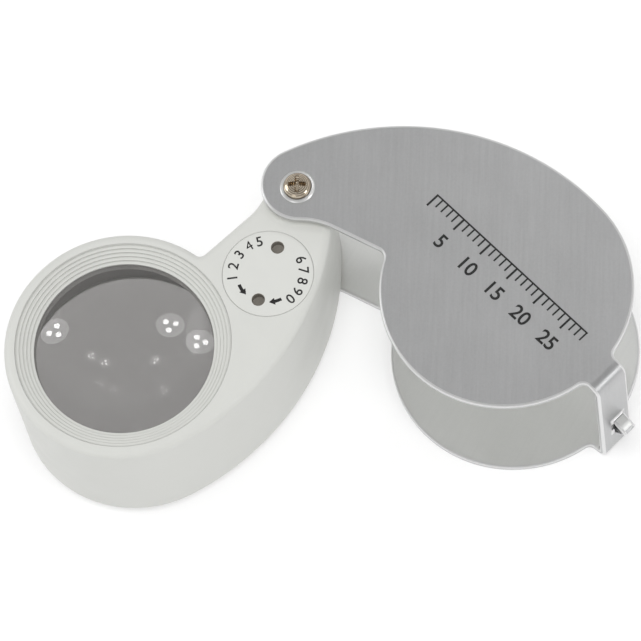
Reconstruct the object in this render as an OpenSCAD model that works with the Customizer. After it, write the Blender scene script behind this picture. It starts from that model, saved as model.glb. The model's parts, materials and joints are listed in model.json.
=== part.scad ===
// Folding illuminated loupe: a lens body that swings out of a bent sheet-metal case.
// Row frame: millimetres, +Z up, origin on the pivot axis at the underside of the case,
// +X from the pivot to the round end of the case. The lens body is drawn in its own frame,
// with the lens on its +X axis, and turned about the pivot to where it stands at rest.

/* [Case] */
// Height over both plates of the case
case_h = 24; // [23.8:0.1:24.2]
// Thickness of the case sheet
sheet_t = 1; // [0.8:0.1:1]
// Distance from the pivot to the centre of the case's round end
case_reach = 31.5; // [31:0.1:32]
// Radius of the case's round end
case_r = 16.8; // [16.6:0.1:17.4]
// Radius of the case's narrow end round the pivot
case_tail_r = 5.2; // [5:0.1:5.4]
// Radius of the long outer curve of the case
case_sweep_r = 35.7; // [35:0.1:38]
// Distance from the centre line to the straight inner edge of the case
case_neck = 2.9; // [2.6:0.1:3.2]

/* [Strap] */
// Direction of the strap from the centre of the round end
strap_angle = -15.9; // [-25:0.1:-5]
// Width of the strap
strap_w = 5.2; // [4.8:0.1:6]
// Distance of the strap's outer face from the centre of the round end
strap_r = 19.3; // [19:0.1:20]
// How far the lanyard loop stands out of the strap
loop_out = 2.4; // [2:0.1:2.8]
// Height of the lanyard loop along the strap
loop_h = 4.5; // [4.4:0.1:6]
// Height of the middle of the lanyard loop above the base
loop_z = 8.45; // [7:0.05:12]

/* [Lens body] */
// Angle that the lens body is swung out at rest
open_angle = 109; // [90:1:150]
// Height of the lens body
body_h = 20; // [19.8:0.1:20]
// Distance from the pivot to the lens axis
lens_reach = 31.3; // [31:0.1:31.5]
// Radius of the body round the lens
ring_r = 15.95; // [15.8:0.05:16.1]
// Radius of the body's narrow end round the pivot
body_tail_r = 4.4; // [4.3:0.1:4.6]
// Distance from the centre line to the straight inner edge of the body
body_neck = 2.4; // [2.4:0.1:2.6]
// Thickness of the body's walls
wall_t = 1.3; // [1.2:0.1:1.4]

/* [Optics] */
// Radius of both lenses
lens_r = 12.5; // [12.3:0.1:12.6]
// Radius of the opening over the lens
view_r = 12; // [11.8:0.1:12]
// Radius of the flatter lens surfaces, which face out
flat_curve_r = 60; // [60:5:90]
// Radius of the steeper lens surfaces, which face each other
steep_curve_r = 48; // [44:1:60]
// Thickness of a lens at its rim
lens_edge = 1.5; // [1.2:0.1:1.6]
// Number of steps in the bezel round the lens
bezel_steps = 5; // [3:1:6]

/* [Battery] */
// Radius of the battery cover
cover_r = 6.05; // [6:0.05:6.1]
// Radius of a coin cell
cell_r = 4.75; // [4.6:0.05:4.8]
// Thickness of a coin cell
cell_h = 2.7; // [2.6:0.05:2.7]
// Distance between the two spanner holes in the battery cover
spanner_spacing = 7.8; // [7:0.1:8.4]
// Radius of a spanner hole
spanner_r = 0.85; // [0.7:0.05:0.9]

/* [Hidden] */
$fn = 96;
eps = 0.01;
arc_step = 4;           // degrees between the points of a drawn arc
slip = 0.05;            // gap of a running fit
seat = 0.02;            // gap of a fixed fit

// Radii of the small hollow curves of the two outlines
case_neck_r = 10;
case_notch_r = 1.3;
body_neck_r = 9;
body_notch_r = 0.9;
body_sweep_r = 37.5;

// How far the middle of the case's narrow end stands off the pivot, towards the long curve
case_tail_y = 0.6;

// Strap and its bends
bend_r = 1.8;
tab_fillet_r = 1;
loop_w = 2;
loop_t = 0.8;
loop_slope = 1;
loop_shift = 0.3;

// Levels of the lens body
body_z = (case_h - body_h) / 2;
body_top = body_z + body_h;
base_t = 1.2;
base_top = body_z + base_t;
inside_z = base_top + slip;
ceiling_z = body_top - 1.5;

// Pivot
post_r = 1.8;
post_head_r = 2.7;
bush_r = 2.4;
boss_r = 3.9;
thread_r = 0.95;
thread_l = 7;
head_r = 2;
head_flange_r = 2.35;
head_h = 1.2;
head_dome_r = 2.27;
washer_r = 4;
hub_r = 3.2;
lug_r = 4.5;
peg_half_angle = 9;
lug_end_angle = peg_half_angle + 1;

// Optics, from the top down
bezel_r = 14.4;
bezel_z = body_top - 1.65;
bezel_depth = 1.3;
bore_r = lens_r + slip;
barrel_r = 14.7;
tunnel_r = 11.5;
upper_rim_z = bezel_z - lens_edge - 0.12;
steep_sag = steep_curve_r - sqrt(pow(steep_curve_r, 2) - pow(lens_r, 2));
spacer_h = 7.42;
lower_rim_z = upper_rim_z - spacer_h - lens_edge;
spacer_in_r = 11.7;
spacer_slope = 0.25;

// Battery compartment, in the body's frame
cover_pos = [10.7, 5.8];
cover_t = 0.8;
skirt_r = 5.6;
skirt_h = 0.85;
cover_hole_h = 1.1;
cover_hole_turn = 29;
recess_z = body_top - cover_t;
contact_t = 0.28;
skirt_z = recess_z - skirt_h;
contact_z = skirt_z - seat - contact_t;
thread_z = contact_z - slip;
well_r = 6.9;
well_in_r = cell_r + 0.2;
stack_top = thread_z - 0.25;
stack_z = stack_top - 3 * cell_h;
well_floor_z = stack_z - 1.65;
well_z = well_floor_z - 1;
strip_w = 2;
strip_t = 0.3;
strip_x = cover_pos[0] + 5.12;
contact_r = 5.35;
spring_wire_r = 0.22;
spring_turns = 3;

// Light: two lamps in the barrel wall below the lenses, on the side of the arm
lamp_angles = [172, 138];
lamp_r = 1.5;
lamp_tilt = 25;
lamp_l = 5.2;
lamp_wall_z = 5.9;
lamp_wall_r = 12.7;
wire_r = 0.4;
lead_r = 0.2;
lead_gap = 0.6;
wiper_angle = 30;

// Base screws, in the body's frame
screw_spots = [
    [lens_reach + 13.1 * cos(50), 13.1 * sin(50)],
    [lens_reach + 13.1 * cos(-50), 13.1 * sin(-50)],
    [12.5, 9.8]
];
screw_head_r = 1.3;
screw_head_h = 0.6;
screw_r = 0.6;
screw_l = 4.2;
screw_boss_r = 1.6;
screw_boss_h = 5.5;

case_end = [case_reach, 0];
lens_at = [lens_reach, 0];

// ---- Outlines ----

// Points of an arc from angle a0 to a1, without the last one where the next arc begins on it
function arc(centre, r, a0, a1, joined = 0) =
    let (n = max(2, ceil(abs(a1 - a0) / arc_step)))
    [for (i = [0:n - joined]) let (a = a0 + (a1 - a0) * i / n) centre + r * [cos(a), sin(a)]];

function heading(v) = atan2(v[1], v[0]);

// Centre of the long curve that touches the narrow end and the round end from outside
function sweep_centre(tail, end, r, tail_r, sweep_r) =
    let (
        d = end - tail,
        l = norm(d),
        a = sweep_r - tail_r,
        b = sweep_r - r,
        x = (a * a - b * b + l * l) / (2 * l),
        h = sqrt(a * a - x * x)
    )
    tail + (x * d + h * [d[1], -d[0]]) / l;

// The comma shape of the case and of the body. Every arc keeps its centre when it is inset,
// so the arcs stay tangent to one another.
function comma(reach, r, tail_y, tail_r, sweep_r, neck, neck_r, notch_r, inset = 0) =
    let (
        end = [reach, 0],
        tail = [0, tail_y],
        c = sweep_centre(tail, end, r, tail_r, sweep_r),
        hollow = [sqrt(pow(neck_r + tail_r, 2) - pow(neck + neck_r + tail_y, 2)), -neck - neck_r],
        notch = [reach - sqrt(pow(r + notch_r, 2) - pow(neck + notch_r, 2)), -neck - notch_r]
    )
    concat(
        arc(end, r - inset, heading(notch - end), heading(end - c), 1),
        arc(c, sweep_r - inset, heading(end - c), heading(tail - c), 1),
        arc(tail, tail_r - inset, heading(tail - c), 360 + heading(hollow - tail), 1),
        arc(hollow, neck_r + inset, heading(tail - hollow), 90),
        arc(notch, notch_r + inset, 90, heading(end - notch), 1)
    );

module case_outline() {
    polygon(comma(case_reach, case_r, case_tail_y, case_tail_r, case_sweep_r, case_neck, case_neck_r,
        case_notch_r));
}

module body_outline(inset = 0) {
    polygon(comma(lens_reach, ring_r, 0, body_tail_r, body_sweep_r, body_neck, body_neck_r,
        body_notch_r, inset));
}

// A slab of the body's outline between two levels
module body_slab(z0, z1, inset = 0) {
    translate([0, 0, z0]) linear_extrude(z1 - z0) body_outline(inset);
}

// A cylinder between two levels
module drum(r, z0, z1) {
    translate([0, 0, z0]) cylinder(r = r, h = z1 - z0);
}

module ring(r_out, r_in, z0, z1) {
    difference() {
        drum(r_out, z0, z1);
        drum(r_in, z0 - 1, z1 + 1);
    }
}

// Places children in the lens body's frame, at rest
module in_body() {
    rotate([0, 0, -open_angle]) children();
}

module at_lens() {
    translate([lens_at[0], lens_at[1], 0]) children();
}

module at_cover() {
    translate([cover_pos[0], cover_pos[1], 0]) children();
}

// ---- Case ----

// Plan of the tab that carries the strap, with a hollow corner on each side
module strap_tab() {
    half = strap_w / 2;
    corner = [sqrt(pow(case_r + tab_fillet_r, 2) - pow(half + tab_fillet_r, 2)), half + tab_fillet_r];
    for (side = [-1, 1]) scale([1, side])
        polygon(concat(
            [[case_r - 3, 0], [corner[0], 0]],
            arc(corner, tab_fillet_r, -90, -180 + heading(corner))
        ));
}

// Side view of the strap with its two bends, from the plates outwards
module strap_profile() {
    u = strap_r - bend_r;
    inner = bend_r - sheet_t;
    polygon(concat(
        [[case_r - 1, 0]],
        arc([u, bend_r], bend_r, -90, 0),
        arc([u, case_h - bend_r], bend_r, 0, 90),
        [[case_r - 1, case_h], [case_r - 1, case_h - sheet_t]],
        arc([u, case_h - bend_r], inner, 90, 0),
        arc([u, bend_r], inner, 0, -90),
        [[case_r - 1, sheet_t]]
    ));
}

// Side view of the band pushed out of the strap for a lanyard, its tip nearer its upper root
module loop_profile() {
    root = strap_r - sheet_t;
    tip = strap_r + loop_out;
    half = loop_h / 2;
    tip_z = half - loop_slope;
    polygon([
        [root, half], [strap_r, half], [tip - 0.3, tip_z + 0.15], [tip, tip_z - 0.15],
        [tip - 0.15, tip_z - 0.6], [strap_r, -half], [root, -half],
        [root, loop_t - half], [strap_r - 0.2, loop_t - half], [tip - 1.25 * loop_t, tip_z - loop_t],
        [strap_r - 0.2, half - loop_t], [root, half - loop_t]
    ]);
}

module on_strap() {
    translate([case_reach, 0, 0]) rotate([0, 0, strap_angle]) rotate([90, 0, 0]) children();
}

module case_sheet() {
    color([0.72, 0.72, 0.74]) difference() {
        union() {
            for (z = [0, case_h - sheet_t]) translate([0, 0, z]) linear_extrude(sheet_t) {
                case_outline();
                translate(case_end) rotate(strap_angle) strap_tab();
            }
            difference() {
                on_strap() linear_extrude(strap_w, center = true) strap_profile();
                on_strap() translate([strap_r - sheet_t / 2, loop_z, -loop_shift])
                    cube([sheet_t + 1, loop_h, loop_w], center = true);
            }
            on_strap() translate([0, loop_z, -loop_shift]) linear_extrude(loop_w, center = true)
                loop_profile();
        }
        drum(post_head_r + seat, -1, sheet_t + 1);
        drum(thread_r + slip, case_h - sheet_t - 1, case_h + 1);
    }
}

// ---- Pivot ----

module pivot_screw() {
    color([0.6, 0.58, 0.54]) difference() {
        union() {
            drum(head_flange_r, case_h, case_h + 0.25);
            intersection() {
                drum(head_r, case_h, case_h + head_h);
                translate([0, 0, case_h + head_h - head_dome_r]) sphere(r = head_dome_r);
            }
            drum(thread_r - seat, case_h - sheet_t - thread_l, case_h + 0.1);
        }
        for (turn = [20, 110]) rotate([0, 0, turn]) translate([0, 0, case_h + head_h])
            cube([2.3, 0.5, 1.5], center = true);
    }
}

module pivot_post() {
    color([0.62, 0.6, 0.56]) difference() {
        union() {
            drum(post_head_r, 0, sheet_t);
            drum(post_r, 0, case_h - sheet_t);
        }
        drum(thread_r, case_h - sheet_t - thread_l - 1, case_h);
    }
}

module friction_washer() {
    color([0.9, 0.9, 0.88]) ring(washer_r, post_r + 0.1, body_top + 0.04, case_h - sheet_t - seat);
}

// Fixed to the case: its half-round lug closes the switch when the body is swung out,
// and stops the peg under the body at both ends of the swing
module contact_washer() {
    top = body_z - 0.08;
    color([0.8, 0.65, 0.3]) difference() {
        union() {
            drum(hub_r, sheet_t + seat, top);
            translate([0, 0, sheet_t + seat]) linear_extrude(top - sheet_t - seat)
                polygon(concat([[0, 0]], arc([0, 0], lug_r, 180 + lug_end_angle, 360 - lug_end_angle)));
        }
        drum(post_r + 0.1, 0, body_z);
    }
}

// ---- Lens body ----

// Places children on a lamp's own axis: +Z runs from the lamp's tip back and up
module at_lamp(angle) {
    at_lens() rotate([0, 0, angle]) translate([lamp_wall_r, 0, lamp_wall_z])
        rotate([0, 90 - lamp_tilt, 0]) children();
}

// Peg under the tail of the body that the ends of the contact washer's lug stop
module stop_peg() {
    foot = sheet_t + 0.15;
    difference() {
        translate([0, 0, foot]) linear_extrude(body_z + 0.2 - foot)
            polygon(concat([[-3, 0]],
                arc([0, 0], body_tail_r, 180 - peg_half_angle, 180 + peg_half_angle)));
        drum(hub_r + 0.2, 0, base_top);
    }
}

module body_shell() {
    color([0.86, 0.87, 0.85]) in_body() difference() {
        union() {
            difference() {
                body_slab(body_z, body_top);
                body_slab(body_z - 1, ceiling_z, wall_t);
            }
            at_lens() drum(barrel_r, inside_z, body_top - 0.5);
            intersection() {
                at_cover() drum(well_r, well_z, body_top - 0.5);
                body_slab(well_z, body_top - 0.5, 0.2);
            }
            drum(boss_r, inside_z, body_top - 0.5);
            translate([screw_spots[2][0], screw_spots[2][1], 0]) drum(screw_boss_r, inside_z, well_z + 0.5);
            stop_peg();
        }
        at_lens() {
            drum(tunnel_r, 0, lower_rim_z + 1);
            drum(bore_r, lower_rim_z - 0.25, body_top);
            drum(bezel_r + seat, bezel_z - seat, body_top + 1);
        }
        at_cover() {
            drum(well_in_r, well_floor_z, body_top);
            drum(skirt_r + slip, thread_z, body_top);
            drum(cover_r + slip, recess_z, body_top + 1);
        }
        translate([strip_x - seat, cover_pos[1] - strip_w / 2 - slip, well_z - 1])
            cube([strip_t + 2 * seat, strip_w + 2 * slip, thread_z - well_z + 1 + seat]);
        translate([strip_x - 0.6, cover_pos[1] - strip_w / 2 - slip, well_floor_z])
            cube([0.7, strip_w + 2 * slip, thread_z - well_floor_z + seat]);
        drum(bush_r + seat, 0, case_h);
        for (angle = lamp_angles) at_lamp(angle) drum(lamp_r + slip, -4, 6);
        for (spot = screw_spots) translate([spot[0], spot[1], 0]) drum(screw_r + seat, 0, inside_z + 4);
    }
}

module base_cover() {
    color([0.84, 0.85, 0.83]) in_body() difference() {
        body_slab(body_z, base_top, wall_t + slip);
        at_lens() drum(tunnel_r, 0, base_top + 1);
        drum(bush_r + seat, 0, base_top + 1);
        for (spot = screw_spots) translate([spot[0], spot[1], 0]) {
            drum(screw_r + slip, 0, base_top + 1);
            drum(screw_head_r + 0.1, 0, body_z + screw_head_h + 0.05);
        }
        rotate([0, 0, wiper_angle]) translate([2.9, -1, 0]) cube([2.2, 2, base_top + 1]);
    }
}

module base_screws() {
    color([0.55, 0.55, 0.56]) in_body() for (spot = screw_spots) translate([spot[0], spot[1], 0])
        difference() {
            union() {
                drum(screw_head_r, body_z + seat, body_z + screw_head_h);
                drum(screw_r, body_z + 0.1, body_z + screw_l);
            }
            for (turn = [0, 90]) rotate([0, 0, turn]) translate([0, 0, body_z])
                cube([1.6, 0.35, 0.7], center = true);
        }
}

module pivot_bush() {
    color([0.8, 0.66, 0.32]) in_body() ring(bush_r, post_r + slip, body_z, body_top);
}

// ---- Optics ----

module lens_bezel() {
    pitch = (bezel_r - 0.2 - view_r) / bezel_steps;
    drop = bezel_depth / bezel_steps;
    color([0.87, 0.88, 0.86]) in_body() at_lens() rotate_extrude()
        polygon(concat(
            [[bezel_r, bezel_z], [bezel_r, body_top]],
            [for (i = [0:bezel_steps - 1], j = [0:1])
                [bezel_r - 0.2 - pitch * i, body_top - drop * (i + j)]],
            [[view_r, body_top - bezel_depth], [view_r, bezel_z]]
        ));
}

// A lens with its rim between two levels, bulging by its two curves
module lens(rim_z, top_curve_r, bottom_curve_r) {
    top_sag = top_curve_r - sqrt(pow(top_curve_r, 2) - pow(lens_r, 2));
    bottom_sag = bottom_curve_r - sqrt(pow(bottom_curve_r, 2) - pow(lens_r, 2));
    intersection() {
        drum(lens_r, rim_z - bottom_sag - 1, rim_z + lens_edge + top_sag + 1);
        translate([0, 0, rim_z + lens_edge + top_sag - top_curve_r]) sphere(r = top_curve_r);
        translate([0, 0, rim_z - bottom_sag + bottom_curve_r]) sphere(r = bottom_curve_r);
    }
}

module upper_lens() {
    color([0.8, 0.85, 0.85, 0.5]) in_body() at_lens() lens(upper_rim_z, flat_curve_r, steep_curve_r);
}

// Its ends slope to suit the steep faces of the two lenses
module lens_spacer() {
    z0 = lower_rim_z + lens_edge;
    color([0.2, 0.2, 0.2]) in_body() at_lens() rotate_extrude() polygon([
        [lens_r, z0], [lens_r, upper_rim_z],
        [spacer_in_r, upper_rim_z - spacer_slope], [spacer_in_r, z0 + spacer_slope]
    ]);
}

module lower_lens() {
    color([0.8, 0.85, 0.85, 0.5]) in_body() at_lens() lens(lower_rim_z, steep_curve_r, flat_curve_r);
}

// ---- Light and battery ----

module lamp(angle) {
    color([0.95, 0.95, 0.9]) in_body() at_lamp(angle) {
        intersection() {
            drum(lamp_r, -2, lamp_l - 2);
            union() {
                translate([0, 0, lamp_r - 2]) sphere(r = lamp_r);
                drum(lamp_r, lamp_r - 2, lamp_l);
            }
        }
        for (side = [-1, 1]) translate([0, side * lead_gap, 0]) drum(lead_r, lamp_l - 2.2, lamp_l - 0.8);
    }
}

module led_left() {
    lamp(lamp_angles[0]);
}

module led_right() {
    lamp(lamp_angles[1]);
}

// Leaf that reaches down through the base cover and rides on the contact washer
module switch_wiper() {
    z = body_z - 0.04;
    color([0.8, 0.62, 0.35]) in_body() rotate([0, 0, wiper_angle]) rotate([90, 0, 0])
        linear_extrude(1.5, center = true) polygon([
            [3.5, z], [4.4, z], [4.95, base_top], [8.2, base_top], [8.2, base_top + 0.2],
            [4.75, base_top + 0.2], [4.25, z + 0.2], [3.5, z + 0.2]
        ]);
}

module positive_strip() {
    color([0.8, 0.66, 0.32]) in_body()
        translate([strip_x, cover_pos[1] - strip_w / 2, well_z - 0.9])
            cube([strip_t, strip_w, thread_z - seat - well_z + 0.9]);
}

// Solid swept along a list of points, with 8 sides
function cross3(a, b) = [a[1] * b[2] - a[2] * b[1], a[2] * b[0] - a[0] * b[2], a[0] * b[1] - a[1] * b[0]];
function unit(v) = v / norm(v);
function along(p, i) = unit(p[min(i + 1, len(p) - 1)] - p[max(i - 1, 0)]);

module sweep(path, r, up) {
    sides = 8;
    n = len(path);
    points = [for (i = [0:n - 1]) let (t = along(path, i), a = unit(cross3(t, up)), b = cross3(a, t))
        for (k = [0:sides - 1]) path[i] + r * (cos(360 * k / sides) * a + sin(360 * k / sides) * b)];
    walls = [for (i = [0:n - 2], k = [0:sides - 1]) let (m = (k + 1) % sides)
        [i * sides + k, (i + 1) * sides + k, (i + 1) * sides + m, i * sides + m]];
    polyhedron(points = points, faces = concat(
        [[for (k = [0:sides - 1]) k]], walls, [[for (k = [sides - 1:-1:0]) (n - 1) * sides + k]]));
}

module battery_spring() {
    steps = 20;
    rise = stack_z - well_floor_z - 2 * spring_wire_r - 0.1;
    path = [for (i = [0:spring_turns * steps]) let (s = i / (spring_turns * steps), a = 360 * i / steps)
        [(3.8 - 2 * s) * cos(a), (3.8 - 2 * s) * sin(a), well_floor_z + spring_wire_r + 0.03 + rise * s]];
    color([0.75, 0.75, 0.76]) in_body() at_cover() sweep(path, spring_wire_r, [0, 0, 1]);
}

module coin_cell(i) {
    z = stack_z + i * cell_h;
    color([0.78, 0.78, 0.77]) in_body() at_cover() {
        drum(cell_r - 0.9, z + seat, z + 0.4);
        drum(cell_r, z + 0.25, z + cell_h - seat);
    }
}

module coin_cell_1() {
    coin_cell(0);
}

module coin_cell_2() {
    coin_cell(1);
}

module coin_cell_3() {
    coin_cell(2);
}

// Presses on the top cell, and rises with the cover without turning
module cover_contact() {
    color([0.8, 0.66, 0.32]) in_body() at_cover() {
        drum(contact_r, contact_z, contact_z + contact_t);
        drum(1.5, stack_top + seat, contact_z + 0.1);
    }
}

module battery_cover() {
    color([0.87, 0.88, 0.87]) in_body() at_cover() difference() {
        union() {
            drum(cover_r, recess_z, body_top);
            drum(skirt_r, skirt_z, recess_z + 0.1);
        }
        for (side = [-1, 1]) rotate([0, 0, cover_hole_turn])
            translate([side * spanner_spacing / 2, 0, body_top - cover_hole_h])
                cylinder(r = spanner_r, h = cover_hole_h + 1);
    }
}

// Points along a cubic curve through four handles
function curve(a, b, c, d, n = 10) = [for (i = [0:n]) let (t = i / n, s = 1 - t)
    s * s * s * a + 3 * s * s * t * b + 3 * s * t * t * c + t * t * t * d];

// From the positive strip to the lamps
module positive_wire() {
    color([0.75, 0.12, 0.1]) in_body()
        sweep(curve([16.6, 5.8, 8.5], [18, 6, 8.3], [15.2, 9.5, 8], [17.8, 11, 8.1]), wire_r, [0, 0, 1]);
}

// From the switch wiper to the lamps
module negative_wire() {
    color([0.12, 0.12, 0.12]) in_body()
        sweep(curve([7.6, 4.4, 4], [9.5, 5.2, 4.6], [10.5, 1.6, 7.4], [13.9, 1.7, 8]), wire_r, [0, 0, 1]);
}

case_sheet();
pivot_screw();
pivot_post();
friction_washer();
contact_washer();
body_shell();
base_cover();
base_screws();
pivot_bush();
lens_bezel();
upper_lens();
lens_spacer();
lower_lens();
led_left();
led_right();
switch_wiper();
positive_strip();
battery_spring();
coin_cell_1();
coin_cell_2();
coin_cell_3();
cover_contact();
battery_cover();
positive_wire();
negative_wire();
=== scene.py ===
import json
import math

import bmesh
import bpy
from mathutils import Matrix, Vector


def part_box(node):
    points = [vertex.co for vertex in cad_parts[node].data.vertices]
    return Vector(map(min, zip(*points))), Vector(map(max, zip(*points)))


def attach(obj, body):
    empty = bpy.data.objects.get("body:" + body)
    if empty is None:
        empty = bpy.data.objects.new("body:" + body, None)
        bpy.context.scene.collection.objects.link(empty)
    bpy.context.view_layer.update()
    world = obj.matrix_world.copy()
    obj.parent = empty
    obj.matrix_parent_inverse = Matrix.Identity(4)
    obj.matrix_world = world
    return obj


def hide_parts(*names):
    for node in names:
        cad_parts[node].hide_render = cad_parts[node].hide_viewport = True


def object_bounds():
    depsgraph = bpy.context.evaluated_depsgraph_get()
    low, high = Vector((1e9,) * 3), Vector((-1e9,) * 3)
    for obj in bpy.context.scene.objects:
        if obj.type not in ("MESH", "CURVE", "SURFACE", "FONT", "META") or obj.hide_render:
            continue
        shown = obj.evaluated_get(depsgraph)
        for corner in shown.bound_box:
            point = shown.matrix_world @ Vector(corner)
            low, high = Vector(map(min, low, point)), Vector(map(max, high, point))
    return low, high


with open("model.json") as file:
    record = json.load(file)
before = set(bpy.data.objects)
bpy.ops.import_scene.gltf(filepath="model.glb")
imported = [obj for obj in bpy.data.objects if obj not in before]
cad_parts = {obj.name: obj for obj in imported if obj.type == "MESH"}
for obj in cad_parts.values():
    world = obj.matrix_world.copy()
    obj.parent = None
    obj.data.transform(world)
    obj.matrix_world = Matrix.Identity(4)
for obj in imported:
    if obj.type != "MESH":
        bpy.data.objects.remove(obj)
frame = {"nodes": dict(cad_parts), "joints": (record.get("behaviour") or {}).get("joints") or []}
CAD_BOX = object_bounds()
NODES = frame["nodes"]
JOINTS = {joint["name"]: joint for joint in frame["joints"]}

bl_info = {
    "name": "Folding Loupe",
    "version": (1, 0, 0),
    "blender": (4, 5, 0),
    "location": "3D View > Sidebar > Loupe",
    "description": "Builds a folding lit loupe: its sheet-metal case, lens body, optics, cover and light",
    "category": "Add Mesh",
}

MM = 0.001

# Sizes and places read from the frame
SHELL_LOW, SHELL_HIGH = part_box("body_shell")
SHEET_LOW, SHEET_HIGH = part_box("case_sheet")
SCREW_LOW, SCREW_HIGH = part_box("pivot_screw")
POST_LOW, POST_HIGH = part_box("pivot_post")
BEZEL_LOW, BEZEL_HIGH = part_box("lens_bezel")
UPPER_LOW, UPPER_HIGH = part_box("upper_lens")
LOWER_LOW, LOWER_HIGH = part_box("lower_lens")
COVER_LOW, COVER_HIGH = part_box("battery_cover")
OPEN_ANGLE = JOINTS["lens_swing"]["range_deg"][1]
LENS_AT = (UPPER_LOW + UPPER_HIGH) / 2
COVER_AT = Vector(JOINTS["cover_turn"]["pos_m"])

# Turns the lens body's own frame, lens along +X, to where it stands at rest
BODY_TURN = Matrix.Rotation(-math.radians(OPEN_ANGLE), 4, "Z")


# ---------------------------------------------------------------- outlines


def turn(angle):
    a = math.radians(angle)
    return Vector((math.cos(a), math.sin(a)))


def heading(v):
    return math.degrees(math.atan2(v[1], v[0]))


def arc(centre, r, a0, a1, joined=0, step=2.0):
    """Points of an arc, without the last one where the next arc begins on it."""
    n = max(2, math.ceil(abs(a1 - a0) / step))
    return [Vector(centre) + r * turn(a0 + (a1 - a0) * i / n) for i in range(n + 1 - joined)]


def sweep_centre(tail, end, r, tail_r, sweep_r):
    """Centre of the long curve that touches the narrow end and the round end from outside."""
    d = end - tail
    a, b = sweep_r - tail_r, sweep_r - r
    x = (a * a - b * b + d.length_squared) / (2 * d.length)
    return tail + (x * d + math.sqrt(a * a - x * x) * Vector((d[1], -d[0]))) / d.length


def comma(shape, inset=0.0, tab=None):
    """The comma outline of the case and of the body, each arc kept on its centre when inset.
    tab is a list of points that stands in for the rim of the round end where the strap leaves."""
    end, tail = Vector((shape.reach, 0)), Vector((0, shape.tail_y))
    r, tail_r, sweep = shape.round_r, shape.tail_r, shape.sweep_r
    neck, neck_r, notch_r = shape.neck, shape.neck_r, shape.notch_r
    c = sweep_centre(tail, end, r, tail_r, sweep)
    hollow = Vector((math.sqrt((neck_r + tail_r) ** 2 - (neck + neck_r + tail[1]) ** 2), -neck - neck_r))
    notch = Vector((shape.reach - math.sqrt((r + notch_r) ** 2 - (neck + notch_r) ** 2), -neck - notch_r))
    start, stop = heading(notch - end), heading(end - c)
    if tab:
        low, high = heading(tab[0] - end), heading(tab[-1] - end)
        rim = arc(end, r, start, low, 1) + tab + arc(end, r, high, stop, 1)[1:]
    else:
        rim = arc(end, r - inset, start, stop, 1)
    return (
        rim
        + arc(c, sweep - inset, stop, heading(tail - c), 1, 1.0)
        + arc(tail, tail_r - inset, heading(tail - c), 360 + heading(hollow - tail), 1)
        + arc(hollow, neck_r + inset, heading(tail - hollow), 90)
        + arc(notch, notch_r + inset, 90, heading(end - notch), 1, 6.0)
    )


# ---------------------------------------------------------------- meshes


def piece_from(name, verts, faces, material=None):
    mesh = bpy.data.meshes.new(name)
    mesh.from_pydata([tuple(v) for v in verts], [], faces)
    mesh.validate()
    bm = bmesh.new()
    bm.from_mesh(mesh)
    bmesh.ops.recalc_face_normals(bm, faces=bm.faces)
    bm.to_mesh(mesh)
    bm.free()
    piece = bpy.data.objects.new(name, mesh)
    bpy.context.scene.collection.objects.link(piece)
    if material:
        mesh.materials.append(material)
    return piece


def loft(rings, caps=True):
    """Vertices and faces of a skin through rings of equal count, closed by a face at each end."""
    n = len(rings[0])
    verts = [p for ring in rings for p in ring]
    faces = [
        (i * n + k, i * n + (k + 1) % n, (i + 1) * n + (k + 1) % n, (i + 1) * n + k)
        for i in range(len(rings) - 1)
        for k in range(n)
    ]
    if caps:
        faces.append(tuple(reversed(range(n))))
        faces.append(tuple(range((len(rings) - 1) * n, len(rings) * n)))
    return verts, faces


def lathe(profile, centre, sides=128, closed=False):
    """Vertices and faces of a profile of (radius, height) turned about a vertical line.
    The ends are capped, unless the profile is closed on itself."""
    angles = [2 * math.pi * k / sides for k in range(sides)]
    rings = [
        [Vector((centre[0] + r * math.cos(a), centre[1] + r * math.sin(a), z)) for a in angles]
        for r, z in profile
    ]
    if closed:
        rings.append(rings[0])
        verts, faces = loft(rings, caps=False)
        n = len(verts) - sides
        return verts[:n], [tuple(i % n for i in face) for face in faces]
    return loft(rings)


def turned(name, profile, centre, material=None, sides=128, closed=False):
    return piece_from(name, *lathe(profile, centre, sides, closed), material)


def bake(piece):
    """Applies a piece's modifiers."""
    graph = bpy.context.evaluated_depsgraph_get()
    mesh = bpy.data.meshes.new_from_object(piece.evaluated_get(graph))
    piece.modifiers.clear()
    piece.data = mesh


def carve(piece, tool, how="DIFFERENCE"):
    """Cuts a tool out of a piece, or adds or keeps it, and removes the tool."""
    modifier = piece.modifiers.new("carve", "BOOLEAN")
    modifier.operation = how
    modifier.object = tool
    modifier.solver = "EXACT"
    bake(piece)
    bpy.data.objects.remove(tool)


def shade(piece, angle=35.0):
    """Smooth shading, with edges sharper than the angle left crisp."""
    bm = bmesh.new()
    bm.from_mesh(piece.data)
    limit = math.radians(angle)
    for face in bm.faces:
        face.smooth = True
    for edge in bm.edges:
        edge.smooth = len(edge.link_faces) == 2 and edge.calc_face_angle(0) < limit
    bm.to_mesh(piece.data)
    bm.free()


def round_edges(piece, width, angle=40.0, segments=3, material=-1):
    modifier = piece.modifiers.new("rounded edges", "BEVEL")
    modifier.width = width
    modifier.segments = segments
    modifier.limit_method = "ANGLE"
    modifier.angle_limit = math.radians(angle)
    modifier.use_clamp_overlap = False
    modifier.harden_normals = True
    modifier.material = material


def place(piece, body, slot, *nodes):
    """Rides the piece on its body and hides the CAD nodes it stands for. The slot is not used."""
    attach(piece, body)
    if nodes:
        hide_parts(*nodes)
    return piece


def printed(verts, faces, corners, foot, thick):
    """Adds a thin printed shape through the corners given."""
    n, first = len(corners), len(verts)
    verts += flat_ring(corners, foot) + flat_ring(corners, foot + thick)
    for i, j in ((k, (k + 1) % n) for k in range(n)):
        faces.append((first + i, first + j, first + n + j, first + n + i))
    faces.append(tuple(first + n + k for k in range(n)))
    faces.append(tuple(first + k for k in reversed(range(n))))


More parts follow.
